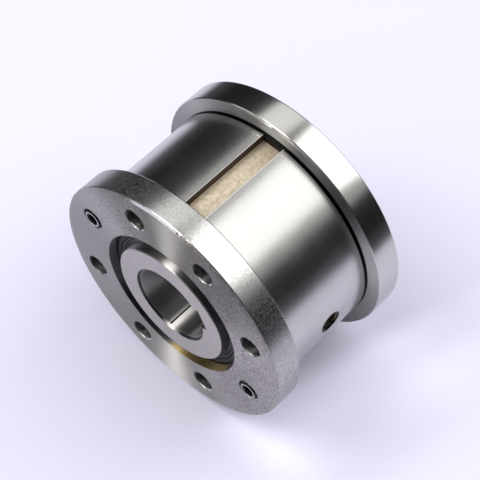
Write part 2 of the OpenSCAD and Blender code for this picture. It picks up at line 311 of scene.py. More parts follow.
# %% Effect groups
def turning_marks():
    """Lines round the axis, as a lathe leaves them. Noise is read at (Lines x (radius + place), angle as a
    point on a circle of radius Arc), so it changes fast across the lines and slowly along them, on
    faces and rims alike."""
    tree, given, result = effect("turning marks", {"Lines": 2.0, "Arc": 3.0}, "Height")
    spot = polar(tree)
    across = product(tree, total(tree, spot.radius, spot.y), given["Lines"])
    turn = [product(tree, part, given["Arc"]) for part in (spot.cosine, spot.sine)]
    point = node(tree, "CombineXYZ", {0: across, 1: turn[0], 2: turn[1]}).outputs[0]
    tree.links.new(noise(tree, 1.0, detail=3.0, roughness=0.6, point=point), result["Height"])
    return tree


def smudges():
    """Broad soft patches where hands and cloths have been: noise of Size millimetres, stretched to 0..1."""
    tree, given, result = effect("smudges", {"Size": 20.0}, "Amount")
    patches = noise(tree, maths(tree, "DIVIDE", 1 / MM, given["Size"]), detail=4.0, roughness=0.55)
    tree.links.new(ramp(tree, patches, 0.33, 0.68), result["Amount"])
    return tree


def grain():
    """Fine even noise, Size in millimetres, as blasting or many years of wiping leave it."""
    tree, given, result = effect("grain", {"Size": 0.8}, "Height")
    fine = noise(tree, maths(tree, "DIVIDE", 1 / MM, given["Size"]), detail=2.0, roughness=0.5)
    tree.links.new(fine, result["Height"])
    return tree


def freckles():
    """Small spots, as from rust or grime: fine noise plus a share of broad noise, cut off below Level."""
    tree, given, result = effect("freckles", {"Size": 1.2, "Level": 0.62}, "Mask")
    fine = noise(tree, maths(tree, "DIVIDE", 1 / MM, given["Size"]), detail=2.0, roughness=0.5)
    broad = noise(tree, maths(tree, "DIVIDE", 0.1 / MM, given["Size"]), detail=2.0, roughness=0.5)
    both = total(tree, product(tree, fine, 0.7), product(tree, broad, 0.3))
    tree.links.new(ramp(tree, both, given["Level"], total(tree, given["Level"], 0.06)), result["Mask"])
    return tree


MARKS, SMUDGES, GRAIN, FRECKLES = turning_marks(), smudges(), grain(), freckles()
print("effect groups:", [g.name for g in (MARKS, SMUDGES, GRAIN, FRECKLES)])


# %% Material helpers
def placed(tree, group, **values):
    """An effect group in a material, with that material's values."""
    made = tree.nodes.new("ShaderNodeGroup")
    made.node_tree = group
    for key, value in values.items():
        made.inputs[key].default_value = value
    return made.outputs[0]


def finish(name, **constants):
    """A new material, its nodes and its Principled shader's sockets, with the constants set on them."""
    material = bpy.data.materials.new(name)
    material.use_nodes = True
    shader = material.node_tree.nodes["Principled BSDF"]
    for key, value in constants.items():
        shader.inputs[key.replace("_", " ")].default_value = value
    return material, material.node_tree, shader.inputs


def feed(tree, inputs, **links):
    """Links outputs to the shader's sockets by name."""
    for key, value in links.items():
        tree.links.new(value, inputs[key.replace("_", " ")])


def bumped(tree, height, depth_mm):
    """A Bump node's normal for a height in 0..1 that stands for depth_mm."""
    return node(tree, "Bump", {"Height": height, "Distance": depth_mm * MM, "Strength": 1.0}).outputs[0]


def near_angle(tree, spot, degrees):
    """Cosine of the angle between a point's direction from the axis and the given one."""
    turn = math.radians(degrees)
    return total(tree, product(tree, spot.cosine, math.cos(turn)), product(tree, spot.sine, math.sin(turn)))


def towards(tree, spot, degrees, start, full, to_low=0.0, to_high=1.0):
    """Mask round a direction from the axis: start and full are cosines of the angle to it."""
    return ramp(tree, near_angle(tree, spot, degrees), start, full, to_low, to_high)


# %% [markdown]
# ## Steel finishes
# A turned face spreads light across its grooves and hardly along them: that is what makes the bright fans
# on the flange faces. The shader does it with anisotropy along a tangent that runs round the axis, taken
# from the piece's own UV map. Ground and polished steel need no direction, only a lower roughness. Wear,
# grease and rust are masks over that steel, placed by radius and by direction from the axis, so they need
# no picture. Painted shade in recesses and at some sides, and painted glints on a few edges, are masks
# of the same kind.

# %% Sizes that the finishes follow
# In mm. The pairs in the last row are places along Y where a mask starts and where it is full.
FLANGE_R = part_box("front_flange")[1].x / MM
FACE = -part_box("front_flange")[0].y / MM
BACK = FACE - 14.0
EDGE, BEVEL_W = 0.45, 2.0
BEVEL_IN = FLANGE_R - BEVEL_W
HEAD_SEAT, HEAD_H = FACE - 5.5, 6.0
SCREW_TOP = HEAD_SEAT + HEAD_H
RING_R, SEAL_R, HUB_R, BORE_R, BORE_CHAMFER = 60.0, 40.0, 32.5, 20.0, 1.25
KEY_HALF, KEY_FLOOR = 6.0, RING_R - 5.0
OIL_PLACE, OIL_R, OIL_MOUTH = (0.0, 2.0, 0.0), 5.0, 1.0
FRONT_FACE, FRONT_RIM, KEY_REAR = (-30.0, -31.0), (-27.0, -27.5), (2.0, 27.0)
print("flange", FLANGE_R, "mm radius, face at", round(FACE, 3), "mm")


# %% Flange steel
def flange_steel():
    """Turned faces. The wall of the seal's bore has painted shade, darkest at its right, and oil at its foot.
    The faces have painted shade at three sides, which dims their reflections there. The front one is
    rubbed and freckled, and its bevel is bare with brown spots at the top. Where the flange meets the ring
    it is black."""
    material, tree, shader = finish("flange steel", Metallic=1.0, Anisotropic=0.95, Anisotropic_Rotation=0.25)
    spot = polar(tree)
    front = ramp(tree, spot.y, *FRONT_FACE)
    bevel = ramp(tree, spot.radius, BEVEL_IN - 0.1, BEVEL_IN + 0.1)
    # The seal's bore wall: painted shade, as it lies in the recess.
    wall = fall(tree, spot.radius, SEAL_R + 0.1, SEAL_R + 0.5)
    joint = product(tree, fall(tree, spot.radius, RING_R, RING_R + 0.3),
                    fall(tree, maths(tree, "ABSOLUTE", spot.y), BACK + 0.25, BACK + 0.35))
    grain = placed(tree, GRAIN, Size=1.3)
    streaks = ramp(tree, placed(tree, MARKS, Lines=4.0, Arc=5.0), 0.32, 0.68)
    rubbed = product(tree, towards(tree, spot, 50.0, -0.5, 0.2, 0.2, 1.0), front)
    mottle = product(tree, ramp(tree, grain, 0.38, 0.62), rubbed)
    # Painted shade at the top, left and bottom of the faces, which dims their reflected fans there.
    painted_top_shade = product(tree, towards(tree, spot, 90.0, 0.93, 0.985), between(tree, bevel, 0.70, 0.0))
    oil_film_and_painted_shade = total(tree, painted_top_shade, towards(tree, spot, 182.0, 0.70, 0.97, 0.0, 0.38),
                 towards(tree, spot, 269.0, 0.88, 0.97, 0.0, 0.26))
    freckled = product(tree, placed(tree, FRECKLES, Size=1.0, Level=0.55), front)
    freckled = product(tree, freckled, ramp(tree, spot.cosine, -0.2, 0.8, 0.0, 0.75))
    # Painted shade, darkest on the bore wall at the right.
    right_wall_shade = product(tree, wall, towards(tree, spot, 350.0, 0.75, 0.92))
    oil = product(tree, wall, towards(tree, spot, 300.0, 0.80, 0.92), 0.9)
    bare = product(tree, bevel, towards(tree, spot, 96.0, 0.96, 0.985))
    brown = product(tree, placed(tree, FRECKLES, Size=1.2, Level=0.50), front, bevel)
    brown = product(tree, brown, towards(tree, spot, 83.0, 0.988, 0.996))
    worn = product(tree, placed(tree, SMUDGES, Size=14.0), 0.25)
    base = layered(
        tree, blended(tree, worn, (0.55, 0.53, 0.505), (0.60, 0.58, 0.555)),
        (oil_film_and_painted_shade, (0.16, 0.155, 0.15)),
        (product(tree, mottle, 0.55), (0.26, 0.245, 0.24)),
        (product(tree, streaks, 0.14), (0.82, 0.80, 0.77)),
        (freckled, (0.26, 0.205, 0.215)),
        (wall, (0.13, 0.125, 0.12)),
        (right_wall_shade, (0.035, 0.034, 0.033)),
        (oil, (0.44, 0.34, 0.14)),
        (bare, (0.95, 0.935, 0.91)),
        (brown, (0.30, 0.17, 0.10)),
        (joint, (0.012, 0.012, 0.012)))
    rough = total(tree, 0.50, product(tree, total(tree, mottle, streaks), 0.04), product(tree, bare, -0.25))
    height = total(tree, placed(tree, MARKS, Lines=3.0, Arc=6.0), product(tree, grain, 6.0))
    feed(tree, shader, Base_Color=base, Roughness=rough, Normal=bumped(tree, height, 0.005),
         Tangent=node(tree, "Tangent", direction_type="UV_MAP", uv_map="UVMap").outputs[0])
    return material


# %% Rim and hole steel
# The way the hole mouths face where they get painted shade.
LOWER_RIGHT = (0.93, 0.0, -0.37)
WITHIN_THE_BEVEL = (61.0, 62.0)


def rim_steel():
    """Rims polished by handling, and the bevelled mouths of the holes. Both rims have painted shade at their
    sides. The front one is freckled and pitted at the right, with painted shade along its back edge near
    the top. The mouths have painted shade where they face the lower right."""
    material, tree, shader = finish("rim steel", Metallic=1.0)
    spot = polar(tree)
    front = ramp(tree, spot.y, *FRONT_RIM)
    grain = placed(tree, GRAIN, Size=1.3)
    lines = placed(tree, MARKS, Lines=4.0, Arc=6.0)
    mottle = product(tree, front, ramp(tree, grain, 0.38, 0.62, 0.0, 0.32))
    streaks = product(tree, front, ramp(tree, lines, 0.32, 0.68, 0.0, 0.25))
    # Painted shade at the left and right sides of both rims.
    sides = total(tree, ramp(tree, spot.cosine, -0.75, -0.45, 0.74, 0.0),
                  ramp(tree, spot.cosine, 0.4, 0.8, 0.0, 0.42))
    painted_side_shade = product(tree, sides, between(tree, front, 0.6, 1.0))
    freckled = product(tree, placed(tree, FRECKLES, Size=1.3, Level=0.53), front)
    freckled = product(tree, freckled, towards(tree, spot, 335.0, 0.70, 0.85, 0.0, 0.45))
    # Painted shade along the front rim's back edge, only near the top where that edge reads dark.
    painted_edge_shade = product(tree, front, ramp(tree, spot.y, -BACK - EDGE, -BACK - EDGE + 0.1))
    painted_edge_shade = product(tree, painted_edge_shade, towards(tree, spot, 75.0, 0.80, 0.90))
    # Painted shade on the parts of the hole mouths that face LOWER_RIGHT.
    normal = node(tree, "NewGeometry").outputs["True Normal"]
    facing = vector(tree, "DOT_PRODUCT", normal, LOWER_RIGHT)["Value"]
    darkened_mouth = product(tree, ramp(tree, facing, 0.05, 0.35), fall(tree, spot.radius, *WITHIN_THE_BEVEL))
    pits = product(tree, front, towards(tree, spot, 31.0, 0.945, 0.985))
    pits = product(tree, pits, ramp(tree, placed(tree, GRAIN, Size=0.8), 0.50, 0.64))
    base = layered(
        tree, blended(tree, mottle, (0.72, 0.705, 0.68), (0.36, 0.35, 0.34)),
        (streaks, (0.86, 0.845, 0.82)),
        (painted_side_shade, (0.10, 0.098, 0.10)),
        (freckled, (0.20, 0.15, 0.15)),
        (painted_edge_shade, (0.26, 0.24, 0.22)),
        (darkened_mouth, (0.06, 0.058, 0.055)))
    rough = total(tree, 0.20, product(tree, front, 0.06), product(tree, pits, 0.15))
    height = total(tree, product(tree, lines, 0.25), product(tree, grain, between(tree, front, 0.2, 3.7)))
    feed(tree, shader, Base_Color=base, Roughness=rough, Normal=bumped(tree, height, 0.006),
         Metallic=between(tree, mottle, 1.0, 0.85))
    return material


def drilled_steel():
    """Walls of the screw holes: dull and uneven."""
    material, tree, shader = finish("drilled steel", Metallic=1.0)
    worn = placed(tree, SMUDGES, Size=3.0)
    feed(tree, shader, Base_Color=blended(tree, worn, (0.12, 0.118, 0.115), (0.30, 0.295, 0.285)),
         Roughness=between(tree, worn, 0.48, 0.58), Normal=bumped(tree, placed(tree, GRAIN, Size=0.8), 0.01))
    return material


# %% Ring steel
def ring_steel():
    """Ground steel. The keyway is tan with old oil, with painted shade in its corners and towards the rear,
    dark brown painted shade on its walls and painted glints along its edges. The oil hole has a dark mouth
    and a tan wall."""
    material, tree, shader = finish("ring steel")
    spot = polar(tree)
    across = maths(tree, "ABSOLUTE", spot.x)
    slot = product(tree, fall(tree, across, KEY_HALF + 0.02, KEY_HALF + 0.04),
                   ramp(tree, spot.z, KEY_FLOOR - 0.2, KEY_FLOOR - 0.1))
    # Keyway walls: dark brown painted shade.
    wall = product(tree, slot, ramp(tree, across, KEY_HALF - 0.03, KEY_HALF - 0.01))
    # Painted glint along the keyway's edges.
    edge = product(tree, fall(tree, across, KEY_HALF + 0.3, KEY_HALF + 0.5),
                   ramp(tree, spot.z, RING_R - 1.2, RING_R - 0.8))
    worn = placed(tree, SMUDGES, Size=16.0)
    grain = placed(tree, GRAIN, Size=0.7)
    tan = layered(
        tree, blended(tree, placed(tree, SMUDGES, Size=2.2), (0.44, 0.37, 0.255), (0.60, 0.52, 0.38)),
        # Painted shade in the keyway's corners, next to its walls.
        (ramp(tree, across, 0.5 * KEY_HALF, KEY_HALF - 0.05, 0.0, 0.40), (0.42, 0.31, 0.19)),
        # Painted shade towards the rear flange.
        (ramp(tree, spot.y, *KEY_REAR, 0.0, 0.45), (0.26, 0.20, 0.13)),
        (product(tree, placed(tree, FRECKLES, Size=2.0, Level=0.52), 0.3), (0.46, 0.33, 0.19)),
        (wall, (0.05, 0.025, 0.012)))
    flat = node(tree, "CombineXYZ", {0: 0.0, 1: spot.y, 2: spot.z}).outputs[0]
    from_oil = vector(tree, "DISTANCE", flat, OIL_PLACE)["Value"]
    right = ramp(tree, spot.cosine, 0.0, 0.1)
    mouth = product(tree, fall(tree, from_oil, OIL_R + OIL_MOUTH, OIL_R + OIL_MOUTH + 0.1), right)
    drilled = product(tree, fall(tree, from_oil, OIL_R, OIL_R + 0.1), mouth)
    steel = layered(
        tree, blended(tree, worn, (0.54, 0.53, 0.512), (0.575, 0.565, 0.548)),
        (ramp(tree, grain, 0.35, 0.65, 0.0, 0.08), (0.42, 0.40, 0.37)),
        # Painted glint along the keyway's edges.
        (product(tree, edge, 0.5), (0.95, 0.93, 0.89)),
        (mouth, (0.03, 0.025, 0.02)),
        (drilled, (0.52, 0.46, 0.40)),
        (slot, tan))
    rough = total(tree, between(tree, worn, 0.25, 0.27), product(tree, total(tree, slot, edge), 0.32))
    height = total(tree, product(tree, placed(tree, MARKS, Lines=4.0, Arc=8.0), 0.2), grain)
    feed(tree, shader, Base_Color=steel, Roughness=rough, Metallic=between(tree, slot, 1.0, 0.25),
         Normal=bumped(tree, height, 0.012))
    return material


# %% Hub steel
GRINDING = (0.0, 0.0, 0.08)
# A dark line along the foot of the bore.
DARK_LINE_ANGLE, DARK_LINE_HALF_WIDTH, DARK_LINE_END = 266.75, (0.018, 0.026), (-26.0, -28.0)


def hub_steel():
    """Bore and outside are turned: lines round the axis spread light along it. The ends are ground with
    straight lines. The tangent Y x normal runs round on the sides and vanishes on the ends, where a
    small fixed part rules. The bore has a dark line along its foot, and its mouth is darker all round
    except at the bottom. The outside has painted shade at the right."""
    material, tree, shader = finish("hub steel", Metallic=1.0, Anisotropic=1.0, Anisotropic_Rotation=0.25)
    spot = polar(tree)
    normal = node(tree, "NewGeometry").outputs["True Normal"]
    turned_lines = vector(tree, "CROSS_PRODUCT", (0.0, 1.0, 0.0), normal)[0]
    ground_lines = node(tree, "VectorTransform", {0: GRINDING}, convert_from="OBJECT", convert_to="WORLD")
    tangent = vector(tree, "ADD", turned_lines, ground_lines.outputs[0])[0]
    level = maths(tree, "ABSOLUTE", node(tree, "SeparateXYZ", {0: normal}).outputs["Y"])
    worn = placed(tree, SMUDGES, Size=9.0)
    bore = fall(tree, spot.radius, BORE_R + 0.05, BORE_R + 0.2)
    outside = ramp(tree, spot.radius, HUB_R - 0.2, HUB_R - 0.05)
    apart = maths(tree, "ABSOLUTE", near_angle(tree, spot, DARK_LINE_ANGLE + 90))
    dark_line = product(tree, bore, fall(tree, apart, *DARK_LINE_HALF_WIDTH), ramp(tree, spot.sine, -0.8, -0.9))
    dark_line = product(tree, dark_line, ramp(tree, spot.y, *DARK_LINE_END))
    mouth_end = BORE_R + BORE_CHAMFER
    mouth = band(tree, spot.radius, BORE_R + 0.05, BORE_R + 0.2, mouth_end - 0.1, mouth_end)
    # The bore's mouth is darker all round except at the bottom.
    darkened_mouth = product(tree, mouth, towards(tree, spot, 270.0, 0.95, 0.985, 1.0, 0.0))
    base = layered(
        tree, blended(tree, worn, (0.575, 0.55, 0.515), (0.62, 0.595, 0.56)),
        (bore, (0.48, 0.465, 0.445)),
        (outside, (0.54, 0.52, 0.495)),
        # Painted shade on the hub's outside at the right, in the seal's recess.
        (product(tree, outside, ramp(tree, spot.cosine, 0.72, 0.90)), (0.10, 0.097, 0.095)),
        (darkened_mouth, (0.07, 0.067, 0.065)),
        (dark_line, (0.012, 0.011, 0.010)))
    rough = total(tree, ramp(tree, level, 0.3, 0.9, 0.41, 0.44), product(tree, worn, 0.04))
    feed(tree, shader, Base_Color=base, Roughness=rough,
         Normal=bumped(tree, placed(tree, MARKS, Lines=5.0, Arc=10.0), 0.0015), Tangent=tangent)
    return material


# %% Plain steels, brass, rubber and gasket
def plain_metal(name, light, dark, roughness, lines, depth):
    """Metal with smudges from dark to light and fine lines round the axis."""
    material, tree, shader = finish(name, Metallic=1.0)
    worn = placed(tree, SMUDGES, Size=8.0)
    feed(tree, shader, Base_Color=blended(tree, worn, dark, light),
         Roughness=between(tree, worn, roughness, roughness + 0.08),
         Normal=bumped(tree, placed(tree, MARKS, Lines=lines, Arc=8.0), depth))
    return material


def rubber(name, roughness, oil_film_and_painted_shade):
    """Black rubber with an uneven coat of oil, which shows as a change of gloss."""
    material, tree, shader = finish(name, Coat_Roughness=0.2, Specular_IOR_Level=0.3)
    worn = placed(tree, SMUDGES, Size=6.0)
    feed(tree, shader, Base_Color=blended(tree, worn, (0.005, 0.005, 0.006), (0.014, 0.013, 0.015)),
         Roughness=between(tree, worn, roughness, roughness + 0.2), Coat_Weight=product(tree, worn, oil_film_and_painted_shade),
         Normal=bumped(tree, placed(tree, SMUDGES, Size=2.5), 0.02))
    return material


def screw_steel():
    """Black oxide, worn to bare steel on the flat of the head."""
    material, tree, shader = finish("screw steel", Metallic=1.0)
    flat = ramp(tree, maths(tree, "ABSOLUTE", polar(tree).y), SCREW_TOP - 0.12, SCREW_TOP - 0.04)
    feed(tree, shader, Base_Color=blended(tree, flat, (0.022, 0.022, 0.025), (0.50, 0.495, 0.50)),
         Roughness=between(tree, placed(tree, SMUDGES, Size=3.0), 0.30, 0.42))
    return material


# %% Finishes on the nodes
# Light colour, dark colour, roughness, lines for each mm, and depth of the lines in mm
METALS = {
    "bearing_steel": ((0.66, 0.67, 0.69), (0.60, 0.61, 0.63), 0.10, 6.0, 0.001),
    "roller_steel": ((0.66, 0.67, 0.69), (0.61, 0.62, 0.64), 0.08, 6.0, 0.001),
    "plate_steel": ((0.52, 0.52, 0.53), (0.46, 0.46, 0.47), 0.32, 3.0, 0.003),
    "plunger_steel": ((0.42, 0.42, 0.43), (0.34, 0.34, 0.35), 0.28, 4.0, 0.002),
    "spring_steel": ((0.46, 0.46, 0.47), (0.38, 0.38, 0.39), 0.25, 4.0, 0.001),
    "cage_brass": ((0.72, 0.57, 0.30), (0.63, 0.48, 0.24), 0.26, 4.0, 0.002),
}
FINISHES = {
    "flange_steel": flange_steel(),
    "drilled_steel": drilled_steel(),
    "rim_steel": rim_steel(),
    "ring_steel": ring_steel(),
    "hub_steel": hub_steel(),
    "screw_steel": screw_steel(),
    "seal_rubber": rubber("seal rubber", 0.30, 0.25),
    "gasket": rubber("gasket sheet", 0.55, 0.1),
}
for slot, values in METALS.items():
    FINISHES[slot] = plain_metal(slot.replace("_", " "), *values)
for part in frame["record"]["subparts"]:
    shown = frame["nodes"][part["node"]].data
    shown.materials.clear()
    shown.materials.append(FINISHES[part["material_slot"]])

# %% [markdown]
# ## From grids to meshes
# Every new piece is a set of patches. A patch is a grid of points, a function of two parameters worked out
# as whole arrays, with a UV pair for each point. Patches that share an edge are welded, and the closed
# shell then turns all its faces outwards.

# %% Patch helpers
UV_PER_MM = 0.02


def on_axis(radius, angle, place):
    """(radius cos angle, -place, radius sin angle), mm to metres. place runs along the axis to the front."""
    radius, angle, place = np.broadcast_arrays(radius, angle, place)
    return np.stack([radius * np.cos(angle), -place, radius * np.sin(angle)], -1) * MM


def quads(rows, columns):
    """Corner numbers of all the faces of a grid of points."""
    i, j = np.meshgrid(np.arange(rows - 1), np.arange(columns - 1), indexing="ij")
    first = (i * columns + j).ravel()
    return np.stack([first, first + columns, first + columns + 1, first + 1], -1)


def piece(name, patches, slot, body, stands_for, others=(), sharp=32.0):
    """Welds patches into one object that rides on body and stands for CAD nodes. A patch is (points, uv), or
    (points, uv, n) where it takes the n-th of the other finishes."""
    starts = np.cumsum([0] + [p[0].shape[0] * p[0].shape[1] for p in patches])
    points = np.concatenate([p[0].reshape(-1, 3) for p in patches])
    uv = np.concatenate([p[1].reshape(-1, 2) for p in patches])
    grids = [quads(*p[0].shape[:2]) + start for p, start in zip(patches, starts)]
    kinds = [p[2] if len(p) > 2 else 0 for p in patches]
    index = np.concatenate([np.full(len(grid), kind, np.int32) for grid, kind in zip(grids, kinds)])
    faces = np.concatenate(grids)
    mesh = bpy.data.meshes.new(name)
    mesh.from_pydata(points.tolist(), [], faces.tolist())
    mesh.uv_layers.new(name="UVMap").data.foreach_set("uv", uv[faces.ravel()].astype(np.float32).ravel())
    for finish_name in (slot, *others):
        mesh.materials.append(FINISHES[finish_name])
    mesh.polygons.foreach_set("material_index", index)
    work = bmesh.new()
    work.from_mesh(mesh)
    bmesh.ops.remove_doubles(work, verts=work.verts, dist=2e-7)
    bmesh.ops.recalc_face_normals(work, faces=work.faces)
    loose = sum(e.is_boundary for e in work.edges)
    work.to_mesh(mesh)
    work.free()
    mesh.shade_smooth()
    mesh.set_sharp_from_angle(angle=math.radians(sharp))
    made = bpy.data.objects.new(name, mesh)
    scene.collection.objects.link(made)
    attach(made, body)
    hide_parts(*stands_for)
    print(name, len(mesh.polygons), "faces,", loose, "open edges")
    return made


def eased(outline, radius, steps=3):
    """Rounds the inner corners of an outline of (radius, place) points. Each corner P gives way to the curve
    (1-t)^2 A + 2t(1-t) P + t^2 B, where A and B lie on its two sides at the given distance or less."""
    outline = np.asarray(outline, float)
    ahead = np.diff(outline, axis=0)
    length = np.linalg.norm(ahead, axis=1)
    way = ahead / length[:, None]
    cut = np.minimum(radius, 0.45 * np.minimum(length[:-1], length[1:]))[:, None]
    corner = outline[1:-1]
    a, b = corner - way[:-1] * cut, corner + way[1:] * cut
    t = np.linspace(0, 1, steps + 1)[:, None, None]
    curve = (1 - t) ** 2 * a + 2 * t * (1 - t) * corner + t ** 2 * b
    return np.concatenate([outline[:1], curve.transpose(1, 0, 2).reshape(-1, 2), outline[-1:]])


def turned(outline, angles, end=1.0):
    """Surface of revolution: the outline's (radius, place) at every angle. UV: (angle, length along it)."""
    outline = np.asarray(outline, float)
    points = on_axis(outline[None, :, 0], angles[:, None], outline[None, :, 1] * end)
    along = np.concatenate([[0], np.cumsum(np.linalg.norm(np.diff(outline, axis=0), axis=1))])
    uv = np.stack(np.broadcast_arrays(angles[:, None] / math.tau, along[None, :] * UV_PER_MM), -1)
    return points, uv


# %% [markdown]
# ## Flanges
# Each flange was turned from one blank, then drilled. Its rims and steps are surfaces of revolution. The
# two faces with holes can't be: there each eighth is a patch between the edge of its hole and the edge of
# its sector, with straight lines from one to the other. Cutting the holes with a boolean would work too,
# but it leaves long thin faces.

# %% Flange sizes
SPIGOT_END = -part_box("front_flange")[1].y / MM
BEVEL_DEPTH = 0.5
PAD = BACK - 0.75
PAD_R, SPIGOT_R = 57.5, 44.95
SEAL_STOP_R, SEAL_MOUTH = 38.0, 0.2
SEAL_FACE = FACE - 4.5
SEAL_BACK = SEAL_FACE - 8.0
BOLT_R, HOLES = 53.5, 8
HOLE_R, COUNTERBORE_R, MOUTH = 3.3, 5.5, 0.5
CORNER, SMALL_CORNER = 0.15, 0.12
KNOCKS = np.array([[76, 0], [79, 0.06], [81, 0.18], [83, 0.08], [85, 0.14], [88, 0.06], [91, 0.1], [96, 0.04],
                   [102, 0]])
KNOCK_REACH, KNOCK_SLANT = 2.5, 0.6
ARC_STEPS, RAY_STEPS, FACE_STEPS, BEVEL_STEPS = 96, 20, 6, 5
SECTOR = math.tau / HOLES
around = np.linspace(-SECTOR / 2, SECTOR / 2, ARC_STEPS + 1)
full_turn = np.linspace(0, math.tau, HOLES * ARC_STEPS + 1)
print("flange from", round(FACE, 3), "to", round(SPIGOT_END, 3), "mm, with", HOLES, "holes")


# %% Flange surfaces
def sector_edge(inner, outer):
    """A sector's closed edge as (radius, angle from its middle): out along one side, back along the other."""
    rays = np.linspace(inner, outer, RAY_STEPS + 1)
    radius = np.concatenate([np.full(ARC_STEPS, inner), rays[:-1], np.full(ARC_STEPS, outer), rays[::-1]])
    angle = np.concatenate([around[:-1], np.full(RAY_STEPS, around[-1]), around[:0:-1],
                            np.full(RAY_STEPS + 1, around[0])])
    return radius, angle


def hole_angles(inner, outer):
    """Direction from the hole's centre to each point of its sector's edge."""
    radius, angle = sector_edge(inner, outer)
    return np.unwrap(np.arctan2(radius * np.sin(angle), radius * np.cos(angle) - BOLT_R))


def holed_sector(middle, place, inner, outer, hole, end):
    """Flat patch: (1-v) hole's edge + v sector's edge, with u running round both. UV: (angle, radius)."""
    radius, angle = sector_edge(inner, outer)
    turn = hole_angles(inner, outer)
    v = np.linspace(0, 1, FACE_STEPS + 1)[None, :]
    x = (1 - v) * (BOLT_R + hole * np.cos(turn))[:, None] + v * (radius * np.cos(angle))[:, None]
    y = (1 - v) * (hole * np.sin(turn))[:, None] + v * (radius * np.sin(angle))[:, None]
    rho, theta = np.hypot(x, y), np.arctan2(y, x) + middle
    return on_axis(rho, theta, place * end), np.stack([theta / math.tau, rho * UV_PER_MM], -1)


def hole_wall(middle, outline, turn_a, turn_b, end):
    """Wall of a stepped hole: the outline's (radius, place) turned round the hole, while its directions go
    over from those of the front patch to those of the back patch, so that both edges meet."""
    outline = np.asarray(outline, float)
    share = np.linspace(0, 1, len(outline))[None, :]
    turn = (1 - share) * turn_a[:, None] + share * turn_b[:, None]
    x, y = BOLT_R + outline[None, :, 0] * np.cos(turn), outline[None, :, 0] * np.sin(turn)
    points = on_axis(np.hypot(x, y), np.arctan2(y, x) + middle, outline[None, :, 1] * end)
    return points, np.stack(np.broadcast_arrays(turn / math.tau, outline[None, :, 1] * UV_PER_MM), -1)


def knocked(outline, angles, end):
    """A surface of revolution round the front edge, dented as KNOCKS lists by angle. A dent moves a point
    inwards and back from the edge, by KNOCK_SLANT x depth x (1 - distance from the edge / KNOCK_REACH)."""
    corner = np.array([FLANGE_R, FACE - BEVEL_DEPTH])
    near = np.clip(1 - np.linalg.norm(outline - corner, axis=1) / KNOCK_REACH, 0, 1)
    depth = near * np.interp(np.degrees(angles), *KNOCKS.T)[:, None] * (end > 0)
    uv = turned(outline, angles, end)[1]
    dented = outline - KNOCK_SLANT * depth[:, :, None]
    return on_axis(dented[:, :, 0], angles[:, None], dented[:, :, 1] * end), uv


# %% Flange pieces
OTHER_FINISHES = ("drilled_steel", "rim_steel")
DRILLED, RIM = 1, 2


def flange_patches(end):
    """All the patches of one flange: bevel, rim, faces, holes, and the bore with its spigot."""
    bevel_foot = FACE - BEVEL_DEPTH
    bevel_end = (FLANGE_R - 0.5 * EDGE, bevel_foot + 0.1)
    bevel = np.linspace((BEVEL_IN, FACE), bevel_end, BEVEL_STEPS + 1)
    rim = eased([bevel_end, (FLANGE_R, bevel_foot - 0.5 * EDGE), (FLANGE_R, FACE - KNOCK_REACH),
                 (FLANGE_R, BACK + EDGE), (FLANGE_R - EDGE, BACK)], CORNER)
    pad = eased([(FLANGE_R - EDGE, BACK), (PAD_R, BACK), (PAD_R, PAD)], CORNER)
    face_in = SEAL_R + SEAL_MOUTH
    bore = eased([(SPIGOT_R, PAD), (SPIGOT_R, SPIGOT_END), (SEAL_STOP_R, SPIGOT_END),
                  (SEAL_STOP_R, SEAL_BACK), (SEAL_R, SEAL_BACK), (SEAL_R, FACE - SEAL_MOUTH),
                  (face_in, FACE)], SMALL_CORNER)
    patches = [knocked(bevel, full_turn, end), (*knocked(rim, full_turn, end), RIM),
               turned(pad, full_turn, end), turned(bore, full_turn, end)]
    front_turn, back_turn = hole_angles(face_in, BEVEL_IN), hole_angles(SPIGOT_R, PAD_R)
    mouth = np.array([(COUNTERBORE_R + MOUTH, FACE), (COUNTERBORE_R, FACE - MOUTH)])
    hole = eased([mouth[1], (COUNTERBORE_R, HEAD_SEAT), (HOLE_R, HEAD_SEAT), (HOLE_R, PAD)], SMALL_CORNER)
    for k in range(HOLES):
        middle = (k + 0.5) * SECTOR
        patches.append(holed_sector(middle, FACE, face_in, BEVEL_IN, COUNTERBORE_R + MOUTH, end))
        patches.append((*hole_wall(middle, mouth, front_turn, front_turn, end), RIM))
        patches.append((*hole_wall(middle, hole, front_turn, back_turn, end), DRILLED))
        patches.append(holed_sector(middle, PAD, SPIGOT_R, PAD_R, HOLE_R, end))
    return patches


for name, end in ENDS.items():
    piece(name + "_flange_body", flange_patches(end), "flange_steel", "housing", [name + "_flange"],
          others=OTHER_FINISHES)

# %% [markdown]
# ## Shaft seals
# A shaft seal is moulded rubber: a stiff outer wall, a ridged face, a dust lip and a sprung sealing lip.
# Its section is one closed outline with soft corners, turned once round the axis. Inside sits a garter
# spring, a close coil bent into a ring, which is a circle carried along a path that winds round a larger
# circle.

